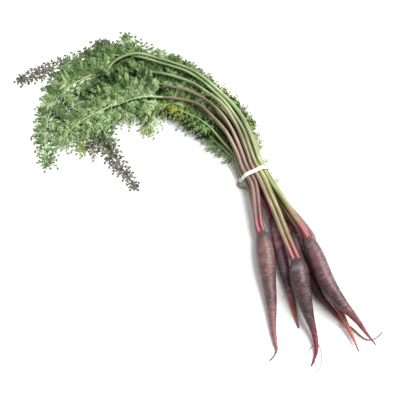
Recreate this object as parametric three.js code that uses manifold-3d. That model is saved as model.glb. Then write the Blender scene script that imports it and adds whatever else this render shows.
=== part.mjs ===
// Bunch of purple carrots with their feathery tops, held by an elastic tie and lying on a table.
// Millimetres, +Z up. The origin is on the table, under the middle of the bunch.

import * as THREE from 'three';
import Module from 'manifold-3d';
import { mergeVertices } from 'three/addons/utils/BufferGeometryUtils.js';

const wasm = await Module();
wasm.setup();

const { clamp, lerp, degToRad, smoothstep } = THREE.MathUtils;

// Driving dimensions
const GAP = 0.45;
const LEAF_GAP = 0.6;
const BLADE = 0.8;
const RIB = 0.8;
const STALK_RADIUS = 2.6;
const LEAF_TIP_RADIUS = 0.65;
const STALK_PITCH = 5.7;
const STALK_ROWS = [4.1, 9.04, 13.98];
const BUNDLE_HEADING = new THREE.Vector3(-0.43, 0.903, 0).normalize();
const BUNDLE_RIGHT = new THREE.Vector3(BUNDLE_HEADING.y, -BUNDLE_HEADING.x, 0);
const STRAIGHT_AT_TIE = 12;
const STRAIGHT_AT_CROWN = 6;
const STALK_DROOP_LENGTH = 170;
const CROWN_DOME = 1.2;
const CROWN_TO_STALK = 0.8;
const TIE_WIDTH = 5;
const TIE_THICKNESS = 1;
const TIE_SLACK = 0.65;
const TIE_CORD_RADIUS = 0.8;
const ROOT_SIDES = 12;
const STALK_SIDES = 6;
const ROOT_STEP = 7.5;
const STALK_STEP = 3;
const STALK_COURSE = 0.16;
const CELL = 1.5;
const HALF_TABLE = 280;
const FLAT_BELOW = 0.3;
const TAIL_TIP = 0.5;
const LAY_TURNS = 60;
const SETTLE_TURNS = 80;
const VIEW_TURNS = 3;
const CLEAR_ENOUGH = 0.02;
const SMOOTHED_OVER = 3;

// Plan view: the places of the roots, the tie and the leaves are those seen from above and a little
// to the front. A place is a pixel across (u) and down (v) in a view of 400 x 400 pixels.
const VIEW_MIDDLE = 200;
const MM_PER_PIXEL = 1.2;
const VIEW_ELEVATION = degToRad(72);
const VIEW_DISTANCE = 1800;
const ORIGIN = new THREE.Vector3(-6, 8.7, 0);

function seen(u, v, z) {
  const back = new THREE.Vector3(0, -Math.cos(VIEW_ELEVATION), Math.sin(VIEW_ELEVATION));
  const up = new THREE.Vector3(0, Math.sin(VIEW_ELEVATION), Math.cos(VIEW_ELEVATION));
  const eye = back.clone().multiplyScalar(VIEW_DISTANCE);
  const ray = back.clone().multiplyScalar(-VIEW_DISTANCE / MM_PER_PIXEL);
  ray.addScaledVector(up, VIEW_MIDDLE - v);
  ray.x += u - VIEW_MIDDLE;
  return eye.addScaledVector(ray, (z - eye.z) / ray.z).sub(ORIGIN);
}

// Roots, from crown to tail: pixel across, pixel down, radius in millimetres. They are laid in this
// order, so the last two lie on the others.
const ROOTS = {
  1: [
    [261, 232.5, 5.8], [262.5, 237, 8.2], [264.2, 246, 10.2], [265.8, 256, 11], [267.3, 268, 10.4],
    [268.6, 280, 9], [270.6, 295, 7.4], [271.8, 308, 5.9], [272.6, 320, 4.5], [274, 334, 3.2],
    [276, 347, 1.9], [276.6, 352, 1.2], [273.5, 356.5, 0.9], [270, 360.5, 0.7],
  ],
  2: [
    [272.5, 217.5, 5.6], [274.2, 222, 6.8], [277, 233.7, 7.5], [279.6, 245, 7.5], [281.9, 256.7, 7.3],
    [284, 268, 6.8], [286.5, 279.6, 6], [289.3, 291, 5.1], [292, 301, 4.1], [294.3, 311, 3],
    [296.2, 319, 1.9], [298.7, 327.8, 0.8],
  ],
  4: [
    [292.5, 233, 5.4], [294, 238, 7.4], [298, 249, 8.8], [302.5, 261, 8.9], [307.5, 273, 8.1],
    [313.5, 285.5, 6.8], [320.3, 297, 5.4], [325, 302.2, 4.4], [330.4, 308, 3.8], [335.4, 313.7, 3.2],
    [340.6, 319.4, 2.6], [346.6, 325, 1.8], [352.4, 328.4, 1.1], [361, 336, 0.9], [367.9, 339.8, 0.8],
    [375.4, 338.4, 0.7], [382.3, 332.2, 0.7],
  ],
  6: [
    [311.5, 242, 4.8], [313, 247, 5.8], [317, 257, 6.8], [321, 267, 7], [325, 278, 6.8],
    [329.4, 288.5, 6.2], [333.6, 297.5, 5.4], [337.5, 305.5, 4.6], [341.2, 313, 3.9], [346, 323.5, 3.1],
    [350.5, 332.5, 2.3], [354, 340, 1.6], [357, 347, 1.1], [358.9, 351.6, 0.8],
  ],
  3: [
    [295.5, 259.5, 5.8], [297.2, 263.5, 9.4], [298.6, 269, 11.4], [300.3, 281, 11.6], [302.5, 291, 10.4],
    [305, 302, 8.8], [307.6, 312, 6.9], [310.8, 322, 5.2], [313.8, 332, 3.9], [315.8, 342, 3.1],
    [316.3, 351, 2.3], [314.3, 359, 1.5], [311.5, 366, 0.8],
  ],
  5: [
    [306.5, 237.5, 5.6], [308.3, 241, 7.6], [311, 246, 9.2], [316.2, 256.7, 10], [320.8, 268, 10.2],
    [325.8, 279.6, 10], [332.3, 290.7, 9], [336.5, 296.5, 8.1], [345.5, 308, 6.3], [351, 313.7, 5.1],
    [356, 319.4, 4], [360.6, 325, 3.2], [364.8, 331, 2.4], [369.3, 336.7, 1.7], [372.8, 341, 1.1],
    [375.9, 345, 0.8],
  ],
};
const ROOT_ORDER = [1, 2, 4, 6, 3, 5];
const ROOT_SLOPE = 0.2;
const BUNDLE_ORDER = [
  '2c', '2b', '2a', '4a', '4b', '6a', '6b', '1c', '3c', '5c', '5b', '3b', '3a', '5a', '1b', '1a',
];
const HELD_PAST_TIE = 12;
const STALK_SLOPE = 0.35;

// The tie's middle, and the slack loop that leaves the knot at its left side
const TIE_PLACE = [255, 174];
const LOOP_PLACES = [
  [239, 181.5], [235, 175], [231.5, 168], [229.2, 164.6], [232, 163.6], [234.6, 168], [237.6, 174],
  [240.6, 179.6],
];
const LOOP_HEIGHT = 2.2;
const KNOT_RADIUS = 2.6;
const KNOT_BELOW = 2;
const KNOT_OUTSIDE = 1;
const KNOT_COLUMNS = 10;
const KNOT_ROWS = 6;
const CORD_SIDES = 6;
const POINTS_ROUND_STALK = 12;

// Leaves, from the lowest to the highest in the foliage. A name gives the root that the leaf grows from.
// A slot is the stalk's row in the tied bundle and its place across it, counted in stalks from the
// middle. A seat is the stalk's place on the crown, across and up, in millimetres. Leafy is the length of
// the blade and pinna that of its longest leaflets at its left and right side, looking towards its tip.
// The route is the rest of the leaf's way.
const LEAVES = [
  { name: '2b', slot: [0, -1], seat: [2.86, 1.65], leafy: 100, pinna: [18, 28], pairs: 5,
    route: [[241, 157], [227, 141], [210, 128], [191, 117], [172, 107]] },
  { name: '6a', slot: [0, 1], seat: [-2.9, 0], leafy: 135, pinna: [36, 24], pairs: 6,
    route: [[251, 153], [241, 130], [226, 109], [207, 91], [189, 75], [176, 62]] },
  { name: '6b', slot: [0, 2], seat: [2.9, 0], leafy: 78, pinna: [24, 13], pairs: 4,
    route: [[257, 153], [250, 131], [240, 113], [228, 97]] },
  { name: '4a', slot: [0, 0], seat: [-2.9, 0], leafy: 130, pinna: [40, 36], pairs: 5,
    route: [[246, 155], [233, 133], [214, 113], [192, 96], [168, 81], [148, 66]] },
  { name: '2c', slot: [0, -2], seat: [0, -3.3], leafy: 150, pinna: [18, 34], pairs: 7,
    route: [[235, 160], [217, 143], [199, 128], [180, 116], [159, 110], [137, 112]] },
  { name: '5c', slot: [1, 2.5], seat: [2.86, -1.65], leafy: 115, pinna: [34, 15], pairs: 5,
    route: [[258, 152], [250, 131], [238, 112], [222, 95], [204, 80], [184, 66]] },
  { name: '5b', slot: [1, 1.5], seat: [-2.86, -1.65], leafy: 130, pinna: [38, 22], pairs: 6,
    route: [[252, 152], [244, 131], [231, 111], [214, 94], [195, 79], [174, 65], [150, 54],
      [128, 38]] },
  { name: '3c', slot: [1, 0.5], seat: [0, -3.3], leafy: 140, pinna: [42, 30], pairs: 6,
    route: [[247, 153], [237, 132], [223, 113], [205, 97], [182, 82], [156, 70], [128, 58],
      [100, 46]] },
  { name: '4b', slot: [1, -0.5], seat: [2.9, 0], leafy: 140, pinna: [44, 40], pairs: 6,
    route: [[243, 155], [231, 134], [215, 116], [193, 101], [165, 91], [137, 85], [112, 84],
      [92, 92]] },
  { name: '2a', slot: [1, -1.5], seat: [-2.86, 1.65], leafy: 98, pinna: [44, 36], pairs: 5,
    route: [[239, 157], [225, 136], [208, 120], [189, 110], [171, 107], [157, 112], [149, 127]] },
  { name: '1c', slot: [1, -2.5], seat: [0, -3.3], leafy: 55, pinna: [20, 20], pairs: 3,
    route: [[235, 157], [220, 141], [204, 126], [190, 118], [176, 113]] },
  { name: '3b', slot: [2, 1], seat: [2.86, 1.65], leafy: 150, pinna: [30, 26], pairs: 7,
    route: [[250, 150], [243, 132], [232, 115], [218, 100], [202, 88], [185, 77], [166, 69],
      [140, 60], [108, 56], [78, 63], [50, 70], [23, 79]] },
  { name: '3a', slot: [2, 0], seat: [-2.86, 1.65], leafy: 170, pinna: [52, 34], pairs: 8,
    route: [[246, 151], [237, 132], [225, 115], [210, 101], [194, 91], [178, 83], [158, 77],
      [130, 73], [100, 74], [77, 82], [58, 98], [46, 126], [45, 159]] },
  { name: '5a', slot: [2, 2], seat: [0, 3.3], leafy: 135, pinna: [20, 26], pairs: 7,
    route: [[255, 149], [248, 132], [238, 115], [226, 101], [212, 89], [197, 79], [181, 70],
      [162, 62], [143, 57], [126, 58], [112, 66], [106, 82], [104, 104], [104, 130], [116, 158],
      [134, 184]] },
  { name: '1b', slot: [2, -1], seat: [2.86, 1.65], leafy: 132, pinna: [42, 48], pairs: 6,
    route: [[241, 153], [231, 133], [218, 117], [203, 105], [188, 97], [172, 92], [154, 88],
      [128, 92], [105, 104], [89, 122], [83, 146]] },
  { name: '1a', slot: [2, -2], seat: [-2.86, 1.65], leafy: 135, pinna: [46, 46], pairs: 6,
    route: [[237, 155], [225, 135], [211, 120], [196, 109], [173, 103], [143, 101], [118, 106],
      [95, 115], [75, 126], [64, 139]] },
];

// Leaf shape: where the pairs of pinnae sit, how they shorten and lean towards the tip
const FIRST_PAIR = 0.06;
const PAIR_SPREAD = 0.9;
const PAIR_CROWDING = 0.9;
const FIRST_PINNA = 0.9;
const PINNA_SHRINK = 0.5;
const PINNA_SHRINK_BEND = 1.6;
const PINNA_BASE = 2.2;
const PINNA_LENGTHS = [0.88, 1.06];
const PINNA_LEANS = [0.93, 1.07];
const WIDEST_PINNA = 0.4;
const PINNA_FILL = 0.5;
const MOST_CROWDED = 0.4;
const INSIDE_BEND = 0.7;
const BEND_AHEAD = 0.3;
const BEND_REACH = 12;
const LOBE_NARROWING = 0.5;
const LOBE_LEAN = 0.95;
const LEAN_AT_BASE = degToRad(60);
const LEAN_AT_TIP = degToRad(38);
const BLADE_DROOP = 0.22;
const LOBE_SPACING = 14;
const NOTCH = 0.3;
const STEEPEST_PINNA = 0.5;
const SHORTEST_SHARE = 0.45;
const SHORTER_BY = 0.2;
const LEAST_WEIGHT = 0.1;
const FIXED_CORNERS = 2;
const HEXAGON_SIDE = Math.cos(Math.PI / 6);
const HEXAGON = [[-1, 0.5], [0, 1], [1, 0.5], [1, -0.5], [0, -1], [-1, -0.5]];
const LEFT_WALL = 2;
const RIGHT_WALL = 5;
const TAPER_BEND = 0.8;
const WELD = 1e-4;

// Colours
const ROOT_SKIN = { color: 0x3b2630, roughness: 0.6, metalness: 0 };
const STALK_SKIN = { color: 0x9a6a62, roughness: 0.5, metalness: 0 };
const LEAF_GREEN = { color: 0x4f7f3a, roughness: 0.65, metalness: 0 };
const TIE_WHITE = { color: 0xf1efea, roughness: 0.5, metalness: 0 };

// A repeatable draw, so that every build gives the same leaves
let seed = 20;
function draw(low, high) {
  seed = (seed * 1664525 + 1013904223) % 4294967296;
  return lerp(low, high, seed / 4294967296);
}

// A map of the highest surface laid so far, on a grid over the table
class HeightMap {
  constructor() {
    this.side = Math.ceil((2 * HALF_TABLE) / CELL);
    this.top = new Float64Array(this.side * this.side).fill(-LEAF_GAP);
  }

  index(place) {
    return clamp(Math.floor((place + HALF_TABLE) / CELL), 0, this.side - 1);
  }

  highest(x, y, reach) {
    let top = -Infinity;
    for (let row = this.index(y - reach); row <= this.index(y + reach); row += 1) {
      for (let column = this.index(x - reach); column <= this.index(x + reach); column += 1) {
        top = Math.max(top, this.top[row * this.side + column]);
      }
    }
    return top;
  }

  add(a, b, c) {
    for (const p of spots(a, b, c, CELL / 2)) {
      const cell = this.index(p.y) * this.side + this.index(p.x);
      this.top[cell] = Math.max(this.top[cell], p.z);
    }
  }
}

// Points spread over a triangle, with the share that each corner has in them
function* spots(a, b, c, spacing) {
  const longest = Math.max(a.distanceTo(b), b.distanceTo(c), c.distanceTo(a));
  const count = Math.max(1, Math.ceil(longest / spacing));
  for (let i = 0; i <= count; i += 1) {
    for (let j = 0; j <= count - i; j += 1) {
      const shares = [i / count, j / count, 1 - (i + j) / count];
      yield {
        x: a.x * shares[0] + b.x * shares[1] + c.x * shares[2],
        y: a.y * shares[0] + b.y * shares[1] + c.y * shares[2],
        z: a.z * shares[0] + b.z * shares[1] + c.z * shares[2],
        shares,
      };
    }
  }
}

const tubes = [];
const everything = new HeightMap();
const blades = new HeightMap();

// The height that a point of a round piece needs to lie on the tubes laid before it, or -Infinity
function heightOnTubes(p, others) {
  let height = -Infinity;
  for (const tube of others) {
    for (let i = 1; i < tube.length; i += 1) {
      const a = tube[i - 1];
      const b = tube[i];
      const run = { x: b.x - a.x, y: b.y - a.y };
      const along = clamp(((p.x - a.x) * run.x + (p.y - a.y) * run.y) / (run.x ** 2 + run.y ** 2), 0, 1);
      const apart = Math.hypot(p.x - a.x - along * run.x, p.y - a.y - along * run.y);
      const reach = p.r + lerp(a.r, b.r, along) + GAP;
      if (apart < reach) {
        const steepness = Math.hypot(run.x, run.y, b.z - a.z) / Math.hypot(run.x, run.y);
        const rise = Math.sqrt(reach ** 2 - apart ** 2) * steepness;
        const z = lerp(a.z, b.z, along);
        if (p.z > z - rise) {
          height = Math.max(height, z + rise);
        }
      }
    }
  }
  return height;
}

// A list of lifts, spread out so that it climbs no faster than slope and has no corners
function eased(lifts, step, slope, spread) {
  const limited = lifts.slice();
  for (let i = 1; i < limited.length; i += 1) {
    limited[i] = Math.max(limited[i], limited[i - 1] - slope * step);
  }
  for (let i = limited.length - 2; i >= 0; i -= 1) {
    limited[i] = Math.max(limited[i], limited[i + 1] - slope * step);
  }
  const near = (list, i) => list.slice(Math.max(0, i - spread), i + spread + 1);
  const widened = limited.map((_, i) => Math.max(...near(limited, i)));
  return widened.map((_, i) => {
    const around = near(widened, i);
    return around.reduce((sum, value) => sum + value, 0) / around.length;
  });
}

// Lays a round piece on what is beneath it: each point keeps its wanted height where it can, and the
// points up to the held one keep theirs in any case
function lay(track, step, slope, others, held = -Infinity) {
  const lifts = track.map(() => 0);
  for (let turn = 0; turn < LAY_TURNS; turn += 1) {
    const smooth = eased(lifts, step, slope, SMOOTHED_OVER);
    let clear = true;
    track.forEach((p, i) => {
      p.z = p.want + Math.min(smooth[i], slope * step * Math.max(0, i - held));
    });
    track.forEach((p, i) => {
      if (i <= held) {
        return;
      }
      const onBlades = blades.highest(p.x, p.y, p.r + CELL / 2) + LEAF_GAP + p.r;
      const needed = Math.max(heightOnTubes(p, others), onBlades);
      if (needed > p.z + CLEAR_ENOUGH) {
        lifts[i] = Math.max(lifts[i], needed - p.want);
        clear = false;
      }
    });
    if (clear) {
      break;
    }
  }
}

// The points of a track that straight stretches need to follow its course within a distance
function thinned(track, within) {
  const kept = [track[0]];
  const line = new THREE.Line3();
  const nearest = new THREE.Vector3();
  let from = 0;
  for (let i = 2; i < track.length; i += 1) {
    line.start.copy(track[from]);
    line.end.copy(track[i]);
    const strays = track.slice(from + 1, i).some((p) => (
      line.closestPointToPoint(p, true, nearest).distanceTo(p) > within
    ));
    if (strays) {
      from = i - 1;
      kept.push(track[from]);
    }
  }
  return [...kept, track[track.length - 1]];
}

// Points at equal steps along a smooth curve
function alongCurve(points, step) {
  const curve = new THREE.CatmullRomCurve3(points, false, 'centripetal');
  curve.arcLengthDivisions = 600;
  return curve.getSpacedPoints(Math.max(2, Math.round(curve.getLength() / step)));
}

// A closed mesh from a list of points and a list of faces
class Body {
  constructor() {
    this.points = [];
    this.faces = [];
  }

  point(p) {
    return this.points.push(new THREE.Vector3(p.x, p.y, p.z)) - 1;
  }

  face(corners, flip = false) {
    const list = flip ? corners.slice().reverse() : corners;
    for (let i = 2; i < list.length; i += 1) {
      this.faces.push([list[0], list[i - 1], list[i]]);
    }
  }

  geometry() {
    const geometry = new THREE.BufferGeometry().setFromPoints(this.points);
    geometry.setIndex(this.faces.flat());
    geometry.computeVertexNormals();
    return geometry;
  }
}

// The side and upward directions across a track at one of its points
function across(track, i) {
  const tangent = new THREE.Vector3().subVectors(
    track[Math.min(i + 1, track.length - 1)],
    track[Math.max(i - 1, 0)],
  ).normalize();
  const right = new THREE.Vector3(tangent.y, -tangent.x, 0).normalize();
  const up = new THREE.Vector3().crossVectors(right, tangent);
  return { tangent, right, up };
}

// A round body along a track, with a cap at each end
function roundBody(track, sides, domes, flatBelow) {
  const body = new Body();
  const rings = track.map((p, i) => {
    const { right, up } = across(track, i);
    return Array.from({ length: sides }, (_, k) => {
      const angle = (2 * Math.PI * (k + 0.5)) / sides;
      const spot = new THREE.Vector3(p.x, p.y, p.z);
      spot.addScaledVector(right, p.r * Math.cos(angle));
      spot.addScaledVector(up, p.r * Math.sin(angle));
      if (spot.z < flatBelow) {
        spot.z = 0;
      }
      return body.point(spot);
    });
  });
  for (let i = 1; i < rings.length; i += 1) {
    for (let k = 0; k < sides; k += 1) {
      const next = (k + 1) % sides;
      body.face([rings[i - 1][k], rings[i][k], rings[i][next], rings[i - 1][next]]);
    }
  }
  [0, track.length - 1].forEach((i, end) => {
    const { tangent } = across(track, i);
    const tip = new THREE.Vector3(track[i].x, track[i].y, track[i].z);
    const middle = body.point(tip.addScaledVector(tangent, end ? domes[1] : -domes[0]));
    for (let k = 0; k < sides; k += 1) {
      body.face([middle, rings[i][k], rings[i][(k + 1) % sides]], end === 1);
    }
  });
  return body;
}

// Roots

function rootTrack(stations, heights) {
  const points = stations.map(([u, v, radius], i) => {
    const place = seen(u, v, heights[i]);
    return new THREE.Vector3(place.x, place.y, radius);
  });
  const curve = alongCurve(points, ROOT_STEP);
  return curve.map((p, i) => {
    const widestAhead = Math.max(...curve.slice(i).map((q) => q.z));
    return { x: p.x, y: p.y, r: p.z, want: widestAhead * Math.cos(Math.PI / ROOT_SIDES) };
  });
}

// The heights of a laid track at the given places of the plan view
function heightsAt(track, places, heights) {
  return places.map(([u, v], i) => {
    const place = seen(u, v, heights[i]);
    const nearest = track.reduce((best, p) => (
      Math.hypot(p.x - place.x, p.y - place.y) < Math.hypot(best.x - place.x, best.y - place.y) ? p : best
    ));
    return nearest.z;
  });
}

// A root's track depends on its own height, because it is placed from a slanting view
function layRoot(stations) {
  let heights = stations.map((station) => station[2]);
  let track = [];
  for (let turn = 0; turn < VIEW_TURNS; turn += 1) {
    track = rootTrack(stations, heights);
    lay(track, ROOT_STEP, ROOT_SLOPE, tubes);
    heights = heightsAt(track, stations, heights);
  }
  return track;
}

// Stalks, each laid as one track from its crown to the tip of its leaf

function leafTrack(leaf, crown, heights) {
  const [row, place] = leaf.slot;
  const tie = seen(...TIE_PLACE, STALK_ROWS[1]);
  const slot = tie.clone().addScaledVector(BUNDLE_RIGHT, place * STALK_PITCH);
  slot.z = STALK_ROWS[row];
  const start = crown.middle.clone();
  start.addScaledVector(crown.out, CROWN_DOME + CROWN_TO_STALK);
  start.addScaledVector(crown.right, leaf.seat[0]);
  start.addScaledVector(crown.up, leaf.seat[1]);
  const points = [start, start.clone().addScaledVector(crown.out, STRAIGHT_AT_CROWN)];
  points.push(slot.clone().addScaledVector(BUNDLE_HEADING, -STRAIGHT_AT_TIE), slot);
  const fan = slot.clone().addScaledVector(BUNDLE_HEADING, STRAIGHT_AT_TIE);
  points.push(fan);
  leaf.route.forEach(([u, v], i) => {
    const spot = seen(u, v, heights[i]);
    const gone = smoothstep(spot.distanceTo(slot), STRAIGHT_AT_TIE, STALK_DROOP_LENGTH);
    spot.z = lerp(slot.z, LEAF_TIP_RADIUS, gone);
    points.push(spot);
  });
  const curve = alongCurve(points, STALK_STEP);
  const tieIndex = curve.reduce((best, p, i) => (
    p.distanceTo(slot) < curve[best].distanceTo(slot) ? i : best
  ), 0);
  return curve.map((p, i) => {
    const past = clamp((i - tieIndex) / (curve.length - 1 - tieIndex), 0, 1);
    const r = lerp(STALK_RADIUS, LEAF_TIP_RADIUS, past ** TAPER_BEND);
    return { x: p.x, y: p.y, want: Math.max(p.z, r), r };
  });
}

// A leaf's track from its crown to its tip, laid on the roots and on the stalks bundled before it
function bundleStalk(leaf, crown, others) {
  let heights = leaf.route.map(() => STALK_ROWS[leaf.slot[0]]);
  let track = [];
  for (let turn = 0; turn < VIEW_TURNS; turn += 1) {
    track = leafTrack(leaf, crown, heights);
    lay(track, STALK_STEP, STALK_SLOPE, others);
    heights = heightsAt(track, leaf.route, heights);
  }
  return track;
}

// The last point of a track that the tie holds in place
function heldPoint(track) {
  const tie = seen(...TIE_PLACE, STALK_ROWS[1]);
  const distances = track.map((p) => Math.hypot(p.x - tie.x, p.y - tie.y));
  return distances.indexOf(Math.min(...distances)) + Math.round(HELD_PAST_TIE / STALK_STEP);
}

// Places beside the midrib: s runs along it and n to its left. Past its tip it goes straight on.
function midrib(track) {
  const position = (s) => clamp(s / STALK_STEP, 0, track.length - 1);
  return {
    length: (track.length - 1) * STALK_STEP,
    heading(s) {
      const i = clamp(Math.round(position(s)), 1, track.length - 2);
      const back = track[Math.max(0, i - 2)];
      const front = track[Math.min(track.length - 1, i + 2)];
      return Math.atan2(front.y - back.y, front.x - back.x);
    },
    bend(s) {
      let turned = this.heading(s + BEND_REACH) - this.heading(s - BEND_REACH);
      turned = Math.atan2(Math.sin(turned), Math.cos(turned));
      return turned / (2 * BEND_REACH);
    },
    place(s, n) {
      const at = position(s);
      const i = Math.min(Math.floor(at), track.length - 2);
      const a = track[i];
      const b = track[i + 1];
      const low = this.heading(i * STALK_STEP);
      let turn = this.heading((i + 1) * STALK_STEP) - low;
      turn = Math.atan2(Math.sin(turn), Math.cos(turn));
      const angle = low + turn * (at - i);
      const beyond = Math.max(0, s - this.length);
      return {
        x: lerp(a.x, b.x, at - i) - n * Math.sin(angle) + beyond * Math.cos(angle),
        y: lerp(a.y, b.y, at - i) + n * Math.cos(angle) + beyond * Math.sin(angle),
        z: lerp(a.z, b.z, at - i),
        r: lerp(a.r, b.r, at - i),
      };
    },
  };
}

// The outline of a pinna that is cut to its rib: base, forward leaflets and notches, tip, and back
function pinnaOutline(length, halfWidth) {
  const lobes = Math.max(1, Math.round(length / LOBE_SPACING));
  const step = length / (lobes + 1);
  const forward = [];
  for (let j = 0; j < lobes; j += 1) {
    const width = halfWidth * (1 - (LOBE_NARROWING * j) / lobes);
    forward.push([(j + LOBE_LEAN) * step, width], [(j + 1) * step, Math.max(RIB, NOTCH * halfWidth)]);
  }
  const backward = forward.map(([along, side]) => [along, -side]).reverse();
  return { lobes, outline: [...forward, [length, 0], ...backward] };
}

// Raises the free points of a blade until it is clear of everything laid before it
function settle(points, triangles, free) {
  for (let turn = 0; turn < SETTLE_TURNS; turn += 1) {
    let worst = 0;
    for (const corners of triangles) {
      const [a, b, c] = corners.map((i) => points[i]);
      for (const spot of spots(a, b, c, CELL)) {
        const short = everything.highest(spot.x, spot.y, CELL / 2) + LEAF_GAP + BLADE / 2 - spot.z;
        const shares = spot.shares.map((share, k) => (free[corners[k]] ? share : 0));
        const weight = shares.reduce((sum, share) => sum + share * share, 0);
        if (short > CLEAR_ENOUGH && weight > LEAST_WEIGHT) {
          worst = Math.max(worst, short);
          corners.forEach((i, k) => {
            points[i].z += (short * shares[k]) / weight;
          });
        }
      }
    }
    if (worst === 0) {
      break;
    }
  }
}

// One pinna, joined to the side wall between two rings of the midrib. It is made shorter where it would
// have to climb steeply over what lies beside it, and left out where even a short one has no room.
function addPinna(body, rib, pair, side, walls, share = 1) {
  const { s, lean } = pair;
  const length = pair.length * share;
  const halfWidth = Math.min(pair.halfWidth, WIDEST_PINNA * length);
  const { lobes, outline } = pinnaOutline(length, halfWidth);
  const base = rib.place(s, 0);
  const edge = HEXAGON_SIDE * base.r;
  const spots3d = outline.map(([along, acrossRib]) => {
    const forward = along * Math.cos(lean) + acrossRib * Math.sin(lean);
    const outward = edge + along * Math.sin(lean) - acrossRib * Math.cos(lean);
    const spot = rib.place(s + forward, side * outward);
    const droop = BLADE_DROOP * (outward - edge);
    return new THREE.Vector3(spot.x, spot.y, Math.max(BLADE / 2, lerp(base.z, spot.z, 0.5) - droop));
  });
  const low = [walls.aLow, walls.bLow];
  const high = [walls.aHigh, walls.bHigh];
  const middle = low.map((index, k) => new THREE.Vector3().addVectors(
    body.points[index], body.points[high[k]],
  ).multiplyScalar(0.5));
  const points = [...middle, ...spots3d];
  const count = points.length;
  const forwardTip = (j) => 2 + 2 * j;
  const forwardNotch = (j) => (j < 0 ? 1 : 3 + 2 * j);
  const backTip = (j) => count - 1 - 2 * j;
  const backNotch = (j) => (j < 0 ? 0 : count - 2 - 2 * j);
  const triangles = [];
  for (let j = 0; j < lobes; j += 1) {
    triangles.push([backNotch(j - 1), forwardNotch(j - 1), forwardNotch(j)]);
    triangles.push([backNotch(j - 1), forwardNotch(j), backNotch(j)]);
    triangles.push([forwardNotch(j - 1), forwardTip(j), forwardNotch(j)]);
    triangles.push([backNotch(j), backTip(j), backNotch(j - 1)]);
  }
  triangles.push([forwardNotch(lobes - 1), forwardNotch(lobes - 1) + 1, backNotch(lobes - 1)]);
  settle(points, triangles, points.map((_, i) => i >= FIXED_CORNERS));
  const climb = Math.max(...points.map((p) => p.z)) - base.z;
  if (climb > STEEPEST_PINNA * length) {
    if (share > SHORTEST_SHARE) {
      addPinna(body, rib, pair, side, walls, share - SHORTER_BY);
    } else {
      body.face([walls.aLow, walls.bLow, walls.bHigh, walls.aHigh], side > 0);
    }
    return;
  }
  points.slice(FIXED_CORNERS).forEach((p) => {
    low.push(body.point({ x: p.x, y: p.y, z: p.z - BLADE / 2 }));
    high.push(body.point({ x: p.x, y: p.y, z: p.z + BLADE / 2 }));
  });
  const flip = side < 0;
  triangles.forEach((corners) => {
    body.face(corners.map((i) => high[i]), flip);
    body.face(corners.map((i) => low[i]), !flip);
  });
  for (let i = 1; i < count; i += 1) {
    const next = (i + 1) % count;
    body.face([low[i], low[next], high[next], high[i]], flip);
  }
}

// A leaf blade: a six-sided midrib with pairs of cut pinnae joined to its sides
function leafBody(leaf, track) {
  const rib = midrib(track);
  const body = new Body();
  const pairs = [];
  const station = (k) => rib.length * (FIRST_PAIR + PAIR_SPREAD * (k / leaf.pairs) ** PAIR_CROWDING);
  for (let k = 0; k <= leaf.pairs; k += 1) {
    const share = k / leaf.pairs;
    const apart = k === 0 ? station(1) - station(0) : station(k) - station(k - 1);
    pairs.push({
      s: station(k),
      apart,
      lean: lerp(LEAN_AT_BASE, LEAN_AT_TIP, share),
      share: (1 - PINNA_SHRINK * share ** PINNA_SHRINK_BEND) * (k === 0 ? FIRST_PINNA : 1),
    });
  }
  const ring = (s) => {
    const p = rib.place(s, 0);
    const angle = rib.heading(s);
    const left = { x: -Math.sin(angle), y: Math.cos(angle) };
    return HEXAGON.map(([side, height]) => {
      const n = side * HEXAGON_SIDE * p.r;
      return body.point({ x: p.x + n * left.x, y: p.y + n * left.y, z: p.z + height * p.r });
    });
  };
  const join = (a, b, open) => {
    for (let i = 0; i < HEXAGON.length; i += 1) {
      if (!open || (i !== LEFT_WALL && i !== RIGHT_WALL)) {
        const next = (i + 1) % HEXAGON.length;
        body.face([a[i], b[i], b[next], a[next]]);
      }
    }
  };
  let last = ring(0);
  body.face(last);
  for (const pair of pairs) {
    const a = ring(pair.s - PINNA_BASE / 2);
    const b = ring(pair.s + PINNA_BASE / 2);
    join(last, a, false);
    join(a, b, true);
    for (const side of [1, -1]) {
      const wanted = pair.share * leaf.pinna[side > 0 ? 0 : 1];
      const inward = Math.max(0, side * rib.bend(pair.s + BEND_AHEAD * wanted));
      const longest = inward > 0 ? INSIDE_BEND / inward : Infinity;
      const length = Math.min(wanted * draw(...PINNA_LENGTHS), longest);
      const lean = pair.lean * draw(...PINNA_LEANS);
      const crowding = clamp(1 - inward * length * Math.sin(lean), MOST_CROWDED, 1);
      const room = PINNA_FILL * pair.apart * Math.sin(lean) * crowding;
      const halfWidth = Math.min(room, WIDEST_PINNA * length);
      const high = side > 0 ? LEFT_WALL : 0;
      const low = side > 0 ? LEFT_WALL + 1 : RIGHT_WALL;
      const walls = { aLow: a[low], aHigh: a[high], bLow: b[low], bHigh: b[high] };
      addPinna(body, rib, { s: pair.s, length, halfWidth, lean }, side, walls);
    }
    last = b;
  }
  const tip = ring(rib.length);
  join(last, tip, false);
  body.face(tip.slice().reverse());
  return body;
}

function shadeWith(map, body) {
  for (const [i, j, k] of body.faces) {
    map.add(body.points[i], body.points[j], body.points[k]);
  }
}

// The tie: a flat band round the bundle, a knot at its left side and a slack loop that leaves it

function toManifold(geometry) {
  const bare = geometry.clone();
  bare.deleteAttribute('normal');
  bare.deleteAttribute('uv');
  const merged = mergeVertices(bare, WELD);
  return new wasm.Manifold(new wasm.Mesh({
    numProp: 3,
    vertProperties: new Float32Array(merged.attributes.position.array),
    triVerts: new Uint32Array(merged.index.array),
  }));
}

function fromManifold(solid) {
  const mesh = solid.getMesh();
  const geometry = new THREE.BufferGeometry();
  geometry.setAttribute('position', new THREE.Float32BufferAttribute(mesh.vertProperties, 3));
  geometry.setIndex(Array.from(mesh.triVerts));
  geometry.computeVertexNormals();
  return geometry;
}

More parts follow.
